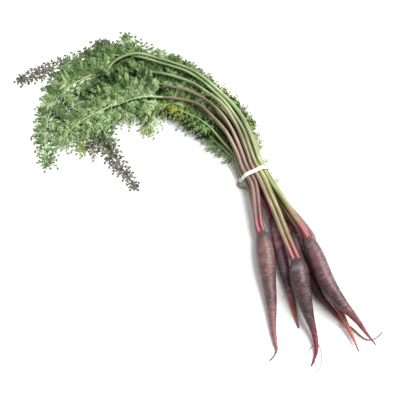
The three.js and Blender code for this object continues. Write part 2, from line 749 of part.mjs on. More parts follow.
// The convex outline round a set of plane points, anticlockwise
function hull(points) {
  const sorted = points.slice().sort((p, q) => p.x - q.x || p.y - q.y);
  const half = (list) => {
    const chain = [];
    for (const p of list) {
      while (chain.length > 1) {
        const [a, b] = chain.slice(-2);
        if ((b.x - a.x) * (p.y - a.y) - (b.y - a.y) * (p.x - a.x) > 0) {
          break;
        }
        chain.pop();
      }
      chain.push(p);
    }
    return chain.slice(0, -1);
  };
  return [...half(sorted), ...half(sorted.reverse())];
}

// Where each stalk crosses the tie, across and up, with its radius
function sectionsAtTie(tracks, middle, offset) {
  return tracks.map((track) => {
    const ahead = track.map((p) => (
      (p.x - middle.x) * BUNDLE_HEADING.x + (p.y - middle.y) * BUNDLE_HEADING.y - offset
    ));
    const i = ahead.findIndex((distance) => distance > 0);
    const share = ahead[i - 1] / (ahead[i - 1] - ahead[i]);
    const p = new THREE.Vector3().lerpVectors(track[i - 1], track[i], share);
    const aside = (p.x - middle.x) * BUNDLE_RIGHT.x + (p.y - middle.y) * BUNDLE_RIGHT.y;
    return { x: aside, y: p.z, r: track[i].r };
  });
}

function tieGeometry(tracks, loop) {
  const middle = seen(...TIE_PLACE, STALK_ROWS[1]);
  const around = [];
  for (const offset of [-TIE_WIDTH / 2, 0, TIE_WIDTH / 2]) {
    for (const section of sectionsAtTie(tracks, middle, offset)) {
      for (let k = 0; k < POINTS_ROUND_STALK; k += 1) {
        const angle = (2 * Math.PI * (k + 0.5)) / POINTS_ROUND_STALK;
        const r = section.r + TIE_SLACK;
        const spot = new THREE.Vector2(r * Math.cos(angle), r * Math.sin(angle));
        around.push(spot.add(section));
      }
    }
  }
  const inner = hull(around);
  inner.forEach((p) => {
    p.y = p.y < TIE_THICKNESS + 2 * TIE_SLACK ? TIE_THICKNESS : p.y;
  });
  const body = new Body();
  const sections = inner.map((p, i) => {
    const before = inner[(i + inner.length - 1) % inner.length];
    const after = inner[(i + 1) % inner.length];
    const out = new THREE.Vector2(after.y - before.y, before.x - after.x).normalize();
    const outer = p.clone().addScaledVector(out, TIE_THICKNESS);
    outer.y = p.y === TIE_THICKNESS ? 0 : outer.y;
    const corners = [[p, -1], [outer, -1], [outer, 1], [p, 1]];
    return corners.map(([q, end]) => {
      const spot = new THREE.Vector3(middle.x, middle.y, q.y);
      spot.addScaledVector(BUNDLE_RIGHT, q.x);
      spot.addScaledVector(BUNDLE_HEADING, (end * TIE_WIDTH) / 2);
      return body.point(spot);
    });
  });
  sections.forEach((a, i) => {
    const b = sections[(i + 1) % sections.length];
    for (let k = 0; k < 4; k += 1) {
      const next = (k + 1) % 4;
      body.face([a[k], a[next], b[next], b[k]]);
    }
  });
  const knot = new THREE.SphereGeometry(KNOT_RADIUS, KNOT_COLUMNS, KNOT_ROWS);
  const left = inner.reduce((best, p) => (p.x < best.x ? p : best));
  const place = new THREE.Vector3(middle.x, middle.y, left.y - KNOT_BELOW);
  place.addScaledVector(BUNDLE_RIGHT, left.x - KNOT_OUTSIDE);
  knot.translate(place.x, place.y, place.z);
  const ends = [loop[0], loop[loop.length - 1]].map((p) => new THREE.Vector3(p.x, p.y, p.z));
  const cord = roundBody(
    [place, ends[0], ...loop.slice(1, -1), ends[1], place].map((p) => ({
      x: p.x, y: p.y, z: p.z, r: TIE_CORD_RADIUS,
    })), CORD_SIDES, [0, 0], -Infinity,
  );
  return { band: body.geometry(), knot, cord: cord.geometry() };
}

// The bunch

const bunch = new THREE.Group();

function addMesh(name, geometry, skin) {
  const mesh = new THREE.Mesh(geometry, new THREE.MeshStandardMaterial(skin));
  mesh.name = name;
  bunch.add(mesh);
}

const crowns = {};
for (const number of ROOT_ORDER) {
  const track = layRoot(ROOTS[number]);
  const { tangent, up } = across(track, 0);
  const out = tangent.clone().negate();
  crowns[number] = {
    middle: new THREE.Vector3(track[0].x, track[0].y, track[0].z),
    out,
    right: new THREE.Vector3(out.y, -out.x, 0).normalize(),
    up,
    track,
  };
  const body = roundBody(track, ROOT_SIDES, [CROWN_DOME, TAIL_TIP], FLAT_BELOW);
  shadeWith(everything, body);
  tubes.push(track);
  addMesh(`root_${number}`, body.geometry(), ROOT_SKIN);
}

// The loop is laid before the leaves, which keep clear of it
const loopPoints = LOOP_PLACES.map(([u, v]) => seen(u, v, LOOP_HEIGHT));
const loopTrack = alongCurve(loopPoints, STALK_STEP).map((p) => ({
  x: p.x, y: p.y, z: p.z, r: TIE_CORD_RADIUS,
}));
tubes.push(loopTrack);
shadeWith(everything, roundBody(loopTrack, CORD_SIDES, [0, 0], -Infinity));

// The stalks are bundled first, up to just past the tie
const bundled = {};
for (const name of BUNDLE_ORDER) {
  const leaf = LEAVES.find((entry) => entry.name === name);
  const crown = crowns[name[0]];
  const others = [...tubes.filter((tube) => tube !== crown.track), ...Object.values(bundled)];
  bundled[name] = bundleStalk(leaf, crown, others);
}

for (const track of Object.values(bundled)) {
  const tied = track.slice(0, heldPoint(track) + 1);
  shadeWith(everything, roundBody(tied, STALK_SIDES, [0, 0], -Infinity));
}

// Then each leaf is laid on the ones beneath it, and its blade spreads over them
for (const leaf of LEAVES) {
  const track = bundled[leaf.name];
  const held = heldPoint(track);
  track.forEach((p) => {
    p.want = p.z;
  });
  const waiting = LEAVES.slice(LEAVES.indexOf(leaf) + 1).map(({ name }) => (
    bundled[name].slice(0, heldPoint(bundled[name]))
  ));
  lay(track, STALK_STEP, STALK_SLOPE, [...tubes, ...waiting], held);
  tubes.push(track);
  const joint = track.length - 1 - Math.round(leaf.leafy / STALK_STEP);
  const stalkPoints = thinned(track.slice(0, joint + 1), STALK_COURSE);
  const end = stalkPoints[stalkPoints.length - 1];
  const before = track[joint - 1];
  const short = 1 - LEAF_GAP / STALK_STEP;
  stalkPoints[stalkPoints.length - 1] = {
    x: lerp(before.x, end.x, short),
    y: lerp(before.y, end.y, short),
    z: lerp(before.z, end.z, short),
    r: end.r,
  };
  const stalk = roundBody(stalkPoints, STALK_SIDES, [0, 0], -Infinity);
  shadeWith(everything, stalk);
  const blade = leafBody(leaf, track.slice(joint));
  shadeWith(everything, blade);
  shadeWith(blades, blade);
  addMesh(`stalk_${leaf.name}`, stalk.geometry(), STALK_SKIN);
  addMesh(`leaf_${leaf.name}`, blade.geometry(), LEAF_GREEN);
}

const tieParts = tieGeometry(Object.values(bundled), loopTrack);
const tie = toManifold(tieParts.band).add(toManifold(tieParts.knot)).add(toManifold(tieParts.cord));
addMesh('tie', fromManifold(tie), TIE_WHITE);

export default bunch;
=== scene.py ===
"""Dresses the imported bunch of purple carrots: skins, stalks, feathery leaves, the tie, floor and light.

Lengths are millimetres, as in the part's source. They become metres when a piece's mesh is made.
"""

import math
import random

import bmesh
import bpy
import numpy as np
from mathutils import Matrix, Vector, noise


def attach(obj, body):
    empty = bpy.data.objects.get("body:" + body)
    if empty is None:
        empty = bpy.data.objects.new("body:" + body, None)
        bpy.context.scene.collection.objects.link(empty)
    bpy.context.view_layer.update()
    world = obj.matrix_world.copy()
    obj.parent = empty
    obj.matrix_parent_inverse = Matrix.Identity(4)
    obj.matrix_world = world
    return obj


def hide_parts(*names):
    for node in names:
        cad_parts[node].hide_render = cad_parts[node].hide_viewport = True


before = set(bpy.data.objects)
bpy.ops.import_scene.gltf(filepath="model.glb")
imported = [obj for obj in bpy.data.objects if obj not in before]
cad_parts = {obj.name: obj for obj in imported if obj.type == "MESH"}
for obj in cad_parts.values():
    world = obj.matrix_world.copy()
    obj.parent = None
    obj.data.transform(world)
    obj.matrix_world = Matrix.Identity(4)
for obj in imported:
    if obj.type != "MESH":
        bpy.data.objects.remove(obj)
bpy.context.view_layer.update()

MM = 0.001
LOWEST = 0.02

# Reading the CAD solids: how near two points are one, or stand one above the other, how thin a blade
# can be, and the heights of a midrib's rings as shares of the radius or of the ring before
WELD = 1e-6
SAME_PLACE = 0.003
THINNEST = 0.3
MIDRIB_HEIGHTS = (1.8, 2.2)
NEXT_RING_HEIGHTS = (0.78, 1.15)
ON_RING = 0.06
HEADING_REACH = 3

# The photograph's view: an image of 400 x 400 pixels, one pixel being 1.2 mm on the table
VIEW_MIDDLE = 200
MM_PER_PIXEL = 1.2
VIEW_ELEVATION = math.radians(72)
VIEW_DISTANCE = 1800
ORIGIN = np.array([-6, 8.7, 0])
LENS = 135
SENSOR = 36

# Roots
ROOT_NUMBERS = [1, 2, 3, 4, 5, 6]
ROOT_RING = 0.8
ROOT_SIDES = 56
ROOT_FIT = 0.985
CROWN_DOME = 1.6
CROWN_ROWS = 6
TAIL_TIP = 0.5
LUMP = 0.045
LUMPS_PER_MM = 0.045
RING_GROOVE = 0.16
GROOVES_PER_MM = 0.34
GROOVE_SHARE = 0.16
FINE_GROOVES_PER_MM = 1.1
FINE_GROOVE_SHARE = 0.2
FULL_GROOVE_RADIUS = 6
SEED_STEP = 20
ROOTLET_SHARE = 0.9
ROOTLET_SIDES = 6

# Stalks and leaves
STALK_SIDES = 28
STALK_RING = 2
INTO_CROWN = 4.5
BASE_FLARE = 0.28
FLARE_LENGTH = 7
RIBS = 7
RIB_DEPTH = 0.07
STALK_FADE = 250
BLADE = 0.8

# Tie
TIE_PLACE = (255, 174)
BUNDLE_HEADING = np.array([-0.43, 0.903, 0]) / math.hypot(0.43, 0.903)
BUNDLE_RIGHT = np.array([BUNDLE_HEADING[1], -BUNDLE_HEADING[0], 0])
TIE_WIDTH = 4.6
TIE_THICKNESS = 0.9
TIE_SLACK = 0.7
KNOT_TURN = 0.62
CORD_RADIUS = 1
LOOP_PLACES = [
    (239, 181.5), (235, 175), (231.5, 168), (229.2, 164.6), (232, 163.6), (234.6, 168), (237.6, 174),
    (240.6, 179.6),
]
LOOP_HEIGHT = 2.2
TWIST_PLACES = [(238.5, 181.5), (238, 185), (241, 187.5), (244.5, 188), (247.5, 190), (250, 193)]
TWIST_TURNS = 4
TWIST_RADIUS = 0.6
TWIST_CORD = 0.65


def rgb(red, green, blue):
    """A colour given as it looks on a screen, from 0 to 255, as Blender's linear values."""
    screen = [value / 255 for value in (red, green, blue)]
    linear = [c / 12.92 if c < 0.04 else ((c + 0.055) / 1.055) ** 2.4 for c in screen]
    return (*linear, 1)


def seen(u, v, height):
    """The point at a height above the table that a pixel of the photograph shows."""
    back = np.array([0, -math.cos(VIEW_ELEVATION), math.sin(VIEW_ELEVATION)])
    up = np.array([0, math.sin(VIEW_ELEVATION), math.cos(VIEW_ELEVATION)])
    eye = back * VIEW_DISTANCE
    ray = -back * VIEW_DISTANCE / MM_PER_PIXEL + up * (VIEW_MIDDLE - v)
    ray[0] += u - VIEW_MIDDLE
    return eye + ray * (height - eye[2]) / ray[2] - ORIGIN


# Curves


def smooth(knots, values, at):
    """The values at places between knots, on a curve without corners."""
    slopes = np.gradient(values, knots, axis=0)
    i = np.clip(np.searchsorted(knots, at, side="right") - 1, 0, len(knots) - 2)
    width = knots[i + 1] - knots[i]
    t = (at - knots[i]) / width
    if values.ndim > 1:
        width = width[:, None]
        t = t[:, None]
    here = (1 + 2 * t) * (1 - t) ** 2
    there = t * t * (3 - 2 * t)
    bend = t * (1 - t) ** 2 * slopes[i] - t * t * (1 - t) * slopes[i + 1]
    return here * values[i] + there * values[i + 1] + width * bend


def lengths_along(line):
    """The length of a line from its start to each of its points."""
    return np.concatenate([[0], np.cumsum(np.linalg.norm(np.diff(line, axis=0), axis=1))])


def point_at(line, at):
    """The point at a length along a line."""
    knots = lengths_along(line)
    return np.array([np.interp(at, knots, line[:, k]) for k in range(3)])


def resampled(line, radii, step):
    """A line and its radii at close, even steps, with the length at each."""
    knots = lengths_along(line)
    at = np.linspace(0, knots[-1], max(2, round(knots[-1] / step)) + 1)
    return smooth(knots, line, at), smooth(knots, radii, at), at


def across(line):
    """The forward, side and upward directions at each point of a line."""
    forward = np.gradient(line, axis=0)
    forward /= np.linalg.norm(forward, axis=1)[:, None]
    right = np.stack([forward[:, 1], -forward[:, 0], np.zeros(len(line))], axis=1)
    right /= np.linalg.norm(right, axis=1)[:, None]
    return forward, right, np.cross(right, forward)


def rest_on_table(points):
    """Keeps points from sinking into the table."""
    points[:, 2] = np.maximum(points[:, 2], LOWEST)


# Reading the frame


def welded(node):
    """A CAD node's points in millimetres, and the numbers of the points next to each."""
    mesh = bmesh.new()
    mesh.from_mesh(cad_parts[node].data)
    bmesh.ops.remove_doubles(mesh, verts=mesh.verts, dist=WELD)
    mesh.verts.index_update()
    points = np.array([vertex.co for vertex in mesh.verts]) / MM
    near = [[edge.other_vert(vertex).index for edge in vertex.link_edges] for vertex in mesh.verts]
    mesh.free()
    return points, near


def tube_rings(node):
    """The middles and radii of the rings of a round CAD body, from its thick end to its thin one."""
    points, near = welded(node)
    reaches = [np.linalg.norm(points[around] - point, axis=1) for point, around in zip(points, near)]
    caps = np.argsort([np.ptp(reach) for reach in reaches])[:2]
    layer = [max(caps, key=lambda i: reaches[i].mean())]
    reached = set(layer)
    middles = []
    radii = []
    while layer:
        layer = sorted({i for point in layer for i in near[point]} - reached)
        reached.update(layer)
        if len(layer) > 1:
            middle = points[layer].mean(axis=0)
            middles.append(middle)
            radii.append(np.linalg.norm(points[layer] - middle, axis=1).mean())
    return np.array(middles), np.array(radii)


def partner_drops(points):
    """How far below each point the next point straight beneath it lies, or 0."""
    drops = np.zeros(len(points))
    for i, point in enumerate(points):
        beside = np.hypot(*(points[:, :2] - point[:2]).T) < SAME_PLACE
        below = point[2] - points[beside, 2]
        below = below[below > THINNEST]
        drops[i] = below.max() if len(below) else 0
    return drops


def blade_midrib(points, near, drops, start, radius):
    """The top points and radii of the midrib's rings, walked from the end that meets the stalk."""
    low, high = MIDRIB_HEIGHTS
    tops = [i for i, drop in enumerate(drops) if low * radius < drop < high * radius]
    goal = start + [0, 0, radius]
    walk = [min(tops, key=lambda i: np.linalg.norm(points[i] - goal))]
    low, high = NEXT_RING_HEIGHTS
    while True:
        here = walk[-1]
        following = [
            i for i in near[here]
            if i not in walk and low * drops[here] < drops[i] < high * drops[here]
        ]
        if not following:
            return walk, [drops[i] / 2 for i in walk]
        walk.append(min(following, key=lambda i: abs(drops[i] - drops[here])))


def leaflet_points(points, near, ring_of):
    """The points of each side leaflet, with the first ring of the midrib that it touches."""
    left = set(range(len(points))) - set(ring_of)
    while left:
        group = set()
        rings = []
        edge = [min(left)]
        while edge:
            i = edge.pop()
            if i in ring_of:
                rings.append(ring_of[i])
            elif i not in group:
                group.add(i)
                edge.extend(near[i])
        left -= group
        yield group, min(rings)


def read_blade(name, start, radius):
    """A leaf's midrib and its side leaflets, as the frame has them."""
    points, near = welded(f"leaf_{name}")
    drops = partner_drops(points)
    walk, radii = blade_midrib(points, near, drops, start, radius)
    middles = np.array([points[i] - [0, 0, r] for i, r in zip(walk, radii)])
    ring_of = {}
    for number, (middle, r) in enumerate(zip(middles, radii)):
        off = np.abs(np.linalg.norm(points - middle, axis=1) - r)
        for i in np.flatnonzero(off < ON_RING * r):
            ring_of[int(i)] = number
    knots = lengths_along(middles)
    pinnae = []
    for group, ring in leaflet_points(points, near, ring_of):
        upper = [i for i in group if drops[i] > 0]
        surface = points[upper] - [0, 0, BLADE / 2]
        at = knots[[ring, min(ring + 1, len(middles) - 1)]].mean()
        pinnae.append(leaflet(middles, at, surface))
    return middles, np.array(radii), pinnae


def leaflet(middles, at, surface):
    """A side leaflet that leaves the midrib at a length along it, as the CAD surface shows it."""
    base = point_at(middles, at)
    reach = surface[:, :2] - base[:2]
    span = reach[np.linalg.norm(reach, axis=1).argmax()]
    aside = np.array([-span[1], span[0]]) / np.linalg.norm(span)
    ahead = point_at(middles, at + HEADING_REACH) - point_at(middles, at - HEADING_REACH)
    return {
        "at": at, "base": base, "span": span, "surface": surface,
        "half_width": np.abs(reach @ aside).max(),
        "side": 1 if ahead[0] * span[1] > ahead[1] * span[0] else -1,
    }


def filled(middles, pinnae):
    """The CAD side leaflets, a smaller one between each two neighbours, and one at the blade's tip."""
    end = lengths_along(middles)[-1]
    ahead = (middles[-1] - middles[-2])[:2]
    ahead /= np.linalg.norm(ahead)
    last = sorted(pinnae, key=lambda pinna: pinna["at"])[-2:]
    mean_length = np.mean([np.linalg.norm(pinna["span"]) for pinna in last])
    tip = {
        "at": end, "base": middles[-1], "span": TIP_LEAFLET * mean_length * ahead,
        "surface": np.vstack([middles[-1:]] + [pinna["surface"] for pinna in last]),
        "half_width": np.mean([pinna["half_width"] for pinna in last]), "side": 0,
    }
    made = list(pinnae) + [tip]
    for side in (1, -1):
        row = sorted((p for p in pinnae if p["side"] == side), key=lambda pinna: pinna["at"]) + [tip]
        for a, b in zip(row, row[1:]):
            if b["at"] - a["at"] < FURTHEST_APART:
                at = (a["at"] + b["at"]) / 2
                made.append({
                    "at": at, "base": point_at(middles, at), "side": side,
                    "span": BETWEEN_LEAFLET * (a["span"] + b["span"]) / 2,
                    "surface": np.vstack([a["surface"], b["surface"]]),
                    "half_width": (a["half_width"] + b["half_width"]) / 2,
                })
    return made


# Shapes


class Shape:
    """A piece in the making: its points, its faces and the named values that its points carry."""

    def __init__(self):
        self.points = []
        self.faces = []
        self.values = {}
        self.count = 0

    def add(self, points, faces, **values):
        self.points.append(points)
        self.faces.extend((np.asarray(faces) + self.count).tolist())
        self.count += len(points)
        for name, value in values.items():
            self.values.setdefault(name, []).append(value)

    def tube(self, line, radii, sides, section=None, **values):
        """Adds a round body along a line. The values hold one number for each point of the line."""
        _, right, up = across(line)
        turn = 2 * math.pi * np.arange(sides) / sides
        reach = radii[:, None] * (np.ones(sides) if section is None else section(turn))
        points = (
            line[:, None]
            + reach[..., None] * np.cos(turn)[:, None] * right[:, None]
            + reach[..., None] * np.sin(turn)[:, None] * up[:, None]
        )
        rows = np.arange(len(line) - 1)[:, None] * sides
        here = np.arange(sides)
        there = (here + 1) % sides
        faces = np.stack(
            [rows + here, rows + there, rows + sides + there, rows + sides + here], axis=-1
        ).reshape(-1, 4)
        skin = np.stack(
            [
                np.broadcast_to(lengths_along(line)[:, None], reach.shape),
                reach * np.cos(turn),
                reach * np.sin(turn),
            ],
            axis=-1,
        )
        spread = {name: np.repeat(value, sides) for name, value in values.items()}
        self.add(points.reshape(-1, 3), faces, skin=skin.reshape(-1, 3), **spread)

    def piece(self, name, material, slot, *nodes):
        """Makes the piece, which rides with the bunch and stands for the CAD nodes."""
        mesh = bpy.data.meshes.new(name)
        mesh.from_pydata((np.concatenate(self.points) * MM).tolist(), [], self.faces)
        for key, parts in self.values.items():
            value = np.concatenate(parts).astype(np.float32)
            kind = "FLOAT_VECTOR" if value.ndim > 1 else "FLOAT"
            field = "vector" if value.ndim > 1 else "value"
            mesh.attributes.new(key, kind, "POINT").data.foreach_set(field, value.ravel())
        mesh.shade_smooth()
        mesh.materials.append(material)
        made = bpy.data.objects.new(name, mesh)
        bpy.context.scene.collection.objects.link(made)
        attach(made, "root")
        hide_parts(*nodes)
        return made


# Materials


class Skin:
    """A material in the making."""

    def __init__(self, name, **sockets):
        self.material = bpy.data.materials.new(name)
        self.material.use_nodes = True
        self.tree = self.material.node_tree
        self.shader = self.tree.nodes["Principled BSDF"]
        for socket, value in sockets.items():
            self.shader.inputs[socket.replace("_", " ")].default_value = value

    def feed(self, socket, value):
        """Gives a socket a value, or the output of another node."""
        if isinstance(value, bpy.types.NodeSocket):
            self.tree.links.new(value, socket)
        else:
            socket.default_value = value

    def carried(self, name, vector=False):
        """A value that the mesh's points carry."""
        made = self.tree.nodes.new("ShaderNodeAttribute")
        made.attribute_name = name
        return made.outputs["Vector" if vector else "Fac"]

    def grain(self, place, scale, detail=3, rough=0.55):
        """A noise from 0 to 1. The scale is one number, or three for a stretched noise."""
        stretch = self.tree.nodes.new("ShaderNodeVectorMath")
        stretch.operation = "MULTIPLY"
        self.feed(stretch.inputs[0], place)
        stretch.inputs[1].default_value = scale if isinstance(scale, tuple) else (scale,) * 3
        made = self.tree.nodes.new("ShaderNodeTexNoise")
        self.feed(made.inputs["Vector"], stretch.outputs[0])
        made.inputs["Scale"].default_value = 1
        made.inputs["Detail"].default_value = detail
        made.inputs["Roughness"].default_value = rough
        return made.outputs["Fac"]

    def span(self, value, low, high, least=0, most=1):
        """A value that goes smoothly from least to most as the given one goes from low to high."""
        made = self.tree.nodes.new("ShaderNodeMapRange")
        made.interpolation_type = "SMOOTHSTEP"
        self.feed(made.inputs["Value"], value)
        ends = {"From Min": low, "From Max": high, "To Min": least, "To Max": most}
        for socket, end in ends.items():
            made.inputs[socket].default_value = end
        return made.outputs["Result"]

    def times(self, first, second):
        """Two values multiplied."""
        made = self.tree.nodes.new("ShaderNodeMath")
        made.operation = "MULTIPLY"
        self.feed(made.inputs[0], first)
        self.feed(made.inputs[1], second)
        return made.outputs[0]

    def mix(self, share, first, second):
        """A colour between two others: the first where the share is 0, the second where it is 1."""
        made = self.tree.nodes.new("ShaderNodeMix")
        made.data_type = "RGBA"
        self.feed(made.inputs[0], share)
        self.feed(made.inputs[6], first)
        self.feed(made.inputs[7], second)
        return made.outputs[2]

    def ramp(self, share, stops):
        """A colour that runs through the given ones: pairs of a place from 0 to 1 and a colour."""
        made = self.tree.nodes.new("ShaderNodeValToRGB")
        self.feed(made.inputs[0], share)
        elements = made.color_ramp.elements
        while len(elements) < len(stops):
            elements.new(1)
        for element, (place, colour) in zip(elements, stops):
            element.position = place
            element.color = colour
        return made.outputs[0]

    def finish(self, colour, roughness, height=None, depth=0.1):
        """Joins the colour, the roughness and the relief, its depth in millimetres, to the shader."""
        self.feed(self.shader.inputs["Base Color"], colour)
        self.feed(self.shader.inputs["Roughness"], roughness)
        if height is not None:
            bump = self.tree.nodes.new("ShaderNodeBump")
            bump.inputs["Strength"].default_value = 1
            bump.inputs["Distance"].default_value = depth * MM
            self.feed(bump.inputs["Height"], height)
            self.feed(self.shader.inputs["Normal"], bump.outputs["Normal"])
        return self.material


# Roots

ROOT_TONES = {
    1: {"dark": rgb(62, 44, 48), "body": rgb(116, 86, 80), "mark": rgb(178, 128, 96), "bloom_and_sheen": 0.4,
        "tail": rgb(140, 92, 90), "tail_from": 0.5, "blush": rgb(116, 60, 66)},
    2: {"dark": rgb(50, 40, 54), "body": rgb(162, 112, 122), "mark": rgb(170, 114, 98), "bloom_and_sheen": 0.6,
        "tail": rgb(172, 84, 54), "tail_from": 0.6, "blush": rgb(142, 76, 100)},
    3: {"dark": rgb(24, 18, 28), "body": rgb(78, 50, 56), "mark": rgb(154, 120, 88), "bloom_and_sheen": 0.5,
        "tail": rgb(134, 28, 54), "tail_from": 0.5, "blush": rgb(78, 34, 56)},
    4: {"dark": rgb(50, 26, 30), "body": rgb(96, 54, 54), "mark": rgb(162, 104, 84), "bloom_and_sheen": 0.1,
        "tail": rgb(136, 68, 56), "tail_from": 0.5, "blush": rgb(110, 46, 52)},
    5: {"dark": rgb(34, 24, 32), "body": rgb(98, 62, 64), "mark": rgb(170, 112, 90), "bloom_and_sheen": 0.5,
        "tail": rgb(126, 58, 64), "tail_from": 0.55, "blush": rgb(116, 54, 62)},
    6: {"dark": rgb(70, 38, 40), "body": rgb(126, 70, 66), "mark": rgb(190, 122, 98), "bloom_and_sheen": 0.1,
        "tail": rgb(186, 98, 86), "tail_from": 0.5, "blush": rgb(160, 76, 76)},
}
# Grey-pink of the skin's bloom, which also serves as painted sheen
ROOT_BLOOM_AND_SHEEN = rgb(138, 118, 130)
CROWN_BROWN = rgb(62, 50, 42)
TAIL_END = rgb(66, 54, 50)
ROOTLET_GREY = rgb(104, 104, 94)

# Thin side roots: the root they grow from, their pixels in the photograph, their thickness
ROOTLETS = [
    (3, [(318.5, 344), (321, 352), (321.8, 360), (320, 368), (312, 374)], 0.6),
    (3, [(313, 345), (309.5, 350), (308.5, 355)], 0.55),
    (3, [(314, 360), (315.4, 364), (315.2, 367)], 0.5),
    (3, [(303, 288), (306, 289.5), (309, 287)], 0.3),
    (5, [(308, 236), (307, 230), (308, 223)], 0.5),
    (5, [(330, 290), (327, 293), (324, 294)], 0.25),
    (4, [(330, 308), (326, 310), (323, 309)], 0.25),
    (6, [(346, 324), (341, 326), (337, 325)], 0.25),
    (1, [(271, 300), (267, 303), (264, 302)], 0.2),
    (2, [(288, 292), (284, 296), (282, 300)], 0.2),
]


def root_skin(number):
    """Plum skin with fine cross rings, tan marks, grey patches that are partly bloom and partly painted
    sheen, and a redder tail.
    """
    tones = ROOT_TONES[number]
    skin = Skin(f"root_skin_{number}", IOR=1.42, Coat_Weight=0.3, Coat_Roughness=0.42)
    place = skin.carried("skin", vector=True)
    share = skin.carried("share")
    blotch = skin.grain(place, 0.09, detail=4, rough=0.6)
    rings = skin.grain(place, (0.95, 0.11, 0.11), detail=3)
    marks = skin.grain(place, (1.3, 0.25, 0.25), detail=2)
    specks = skin.grain(place, 0.55, detail=4, rough=0.7)
    colour = skin.mix(skin.span(blotch, 0.4, 0.62), tones["dark"], tones["body"])
    colour = skin.mix(skin.span(skin.grain(place, 0.16), 0.5, 0.7, 0, 0.7), colour, tones["blush"])
    redness = skin.span(share, tones["tail_from"], tones["tail_from"] + 0.3, 0, 0.85)
    colour = skin.mix(redness, colour, tones["tail"])
    colour = skin.mix(skin.span(rings, 0.47, 0.36, 0, 0.75), colour, tones["dark"])
    colour = skin.mix(skin.span(marks, 0.58, 0.7, 0, 0.75), colour, tones["mark"])
    colour = skin.mix(skin.span(specks, 0.6, 0.75, 0, 0.5), colour, tones["mark"])
    # Grey-pink patches towards the crown: partly the skin's bloom, partly painted sheen
    patches = skin.times(skin.span(blotch, 0.5, 0.36), skin.span(share, 0.75, 0.1, 0, tones["bloom_and_sheen"]))
    colour = skin.mix(patches, colour, ROOT_BLOOM_AND_SHEEN)
    colour = skin.mix(skin.span(share, 0.13, 0.02, 0, 0.75), colour, CROWN_BROWN)
    colour = skin.mix(skin.span(share, 0.93, 0.99), colour, TAIL_END)
    colour = skin.mix(skin.carried("thin"), colour, ROOTLET_GREY)
    roughness = skin.span(specks, 0.3, 0.7, 0.42, 0.62)
    return skin.finish(colour, roughness, rings, 0.35)


def skin_relief(length, turn, radius, seed):
    """The lumps and cross grooves of a root's skin, as a change of its radius."""
    side = Vector((0, math.cos(turn), math.sin(turn)))
    lump = noise.noise(Vector((length * LUMPS_PER_MM + seed, 0, 0)) + side * 0.9)
    line = abs(noise.noise(Vector((length * GROOVES_PER_MM + seed, 9, 0)) + side * 0.8))
    fine = abs(noise.noise(Vector((length * FINE_GROOVES_PER_MM + seed, 0, 7)) + side * 1.1))
    groove = max(0, 1 - line / GROOVE_SHARE) + 0.5 * max(0, 1 - fine / FINE_GROOVE_SHARE)
    return LUMP * radius * lump - RING_GROOVE * groove * min(1, radius / FULL_GROOVE_RADIUS)


def root_line(number):
    """A root's middle line and radii, from the top of its crown to the end of its tail."""
    middles, radii = tube_rings(f"root_{number}")
    line, radius, _ = resampled(middles, radii * ROOT_FIT, ROOT_RING)
    forward = across(line)[0]
    rise = np.linspace(0.04, math.pi / 2, CROWN_ROWS, endpoint=False)
    dome = line[0] - forward[0] * (CROWN_DOME * np.cos(rise))[:, None]
    tip = line[-1] + forward[-1] * TAIL_TIP
    line = np.concatenate([dome, line, [tip]])
    radius = np.concatenate([radius[0] * np.sin(rise), radius, [0.08]])
    return line, radius


def add_rootlet(shape, line, pixels, thickness):
    """A thin side root that leaves the root's surface and comes down to the table."""
    start = seen(*pixels[0], 0)
    ray = seen(*pixels[0], 100) - start
    middle = min(line, key=lambda p: np.linalg.norm(np.cross(p - start, ray)))
    heights = np.linspace(middle[2], thickness, len(pixels))
    path = np.array([seen(*pixel, height) for pixel, height in zip(pixels, heights)])
    radii = np.linspace(thickness, 0.4 * thickness, len(pixels))
    path, radii, at = resampled(path, radii, 1)
    share = np.full(len(at), ROOTLET_SHARE)
    shape.tube(path, radii, ROOTLET_SIDES, share=share, thin=np.ones(len(at)))


def make_root(number):
    """One carrot: its crown, body and tail with the skin's relief, and its thin side roots."""
    shape = Shape()
    line, radius = root_line(number)
    lengths = lengths_along(line)
    shape.tube(line, radius, ROOT_SIDES, share=lengths / lengths[-1], thin=np.zeros(len(line)))
    points = shape.points[0]
    turns = 2 * math.pi * np.arange(ROOT_SIDES) / ROOT_SIDES
    for i, (middle, r) in enumerate(zip(line, radius)):
        for k, turn in enumerate(turns):
            spot = points[i * ROOT_SIDES + k]
            spot += (spot - middle) / r * skin_relief(lengths[i], turn, r, SEED_STEP * number)
    for owner, pixels, thickness in ROOTLETS:
        if owner == number:
            add_rootlet(shape, line, pixels, thickness)
    for part in shape.points:
        rest_on_table(part)
    shape.piece(f"carrot_{number}", root_skin(number), "root_skin", f"root_{number}")


# Stalks

STALK_TONES = {
    "mauve": [
        (0, rgb(128, 30, 58)), (0.035, rgb(136, 48, 72)), (0.12, rgb(128, 84, 88)),
        (0.3, rgb(132, 104, 94)), (0.6, rgb(132, 112, 90)), (0.85, rgb(126, 114, 90)),
        (1, rgb(122, 126, 90)),
    ],
    "magenta": [
        (0, rgb(136, 34, 66)), (0.1, rgb(140, 58, 92)), (0.25, rgb(126, 84, 90)),
        (0.5, rgb(124, 106, 80)), (0.75, rgb(120, 124, 80)), (1, rgb(112, 140, 84)),
    ],
    "green": [
        (0, rgb(132, 36, 56)), (0.04, rgb(142, 60, 74)), (0.12, rgb(136, 106, 82)),
        (0.22, rgb(136, 136, 84)), (0.5, rgb(132, 140, 86)), (1, rgb(134, 160, 108)),
    ],
    "tan": [
        (0, rgb(134, 36, 58)), (0.05, rgb(146, 74, 84)), (0.16, rgb(142, 128, 88)),
        (0.3, rgb(142, 118, 92)), (0.5, rgb(126, 100, 86)), (0.75, rgb(132, 128, 90)),
        (1, rgb(132, 156, 106)),
    ],
    "dark green": [
        (0, rgb(126, 34, 60)), (0.08, rgb(118, 50, 66)), (0.2, rgb(106, 92, 66)),
        (0.45, rgb(104, 112, 66)), (1, rgb(112, 142, 86)),
    ],
}

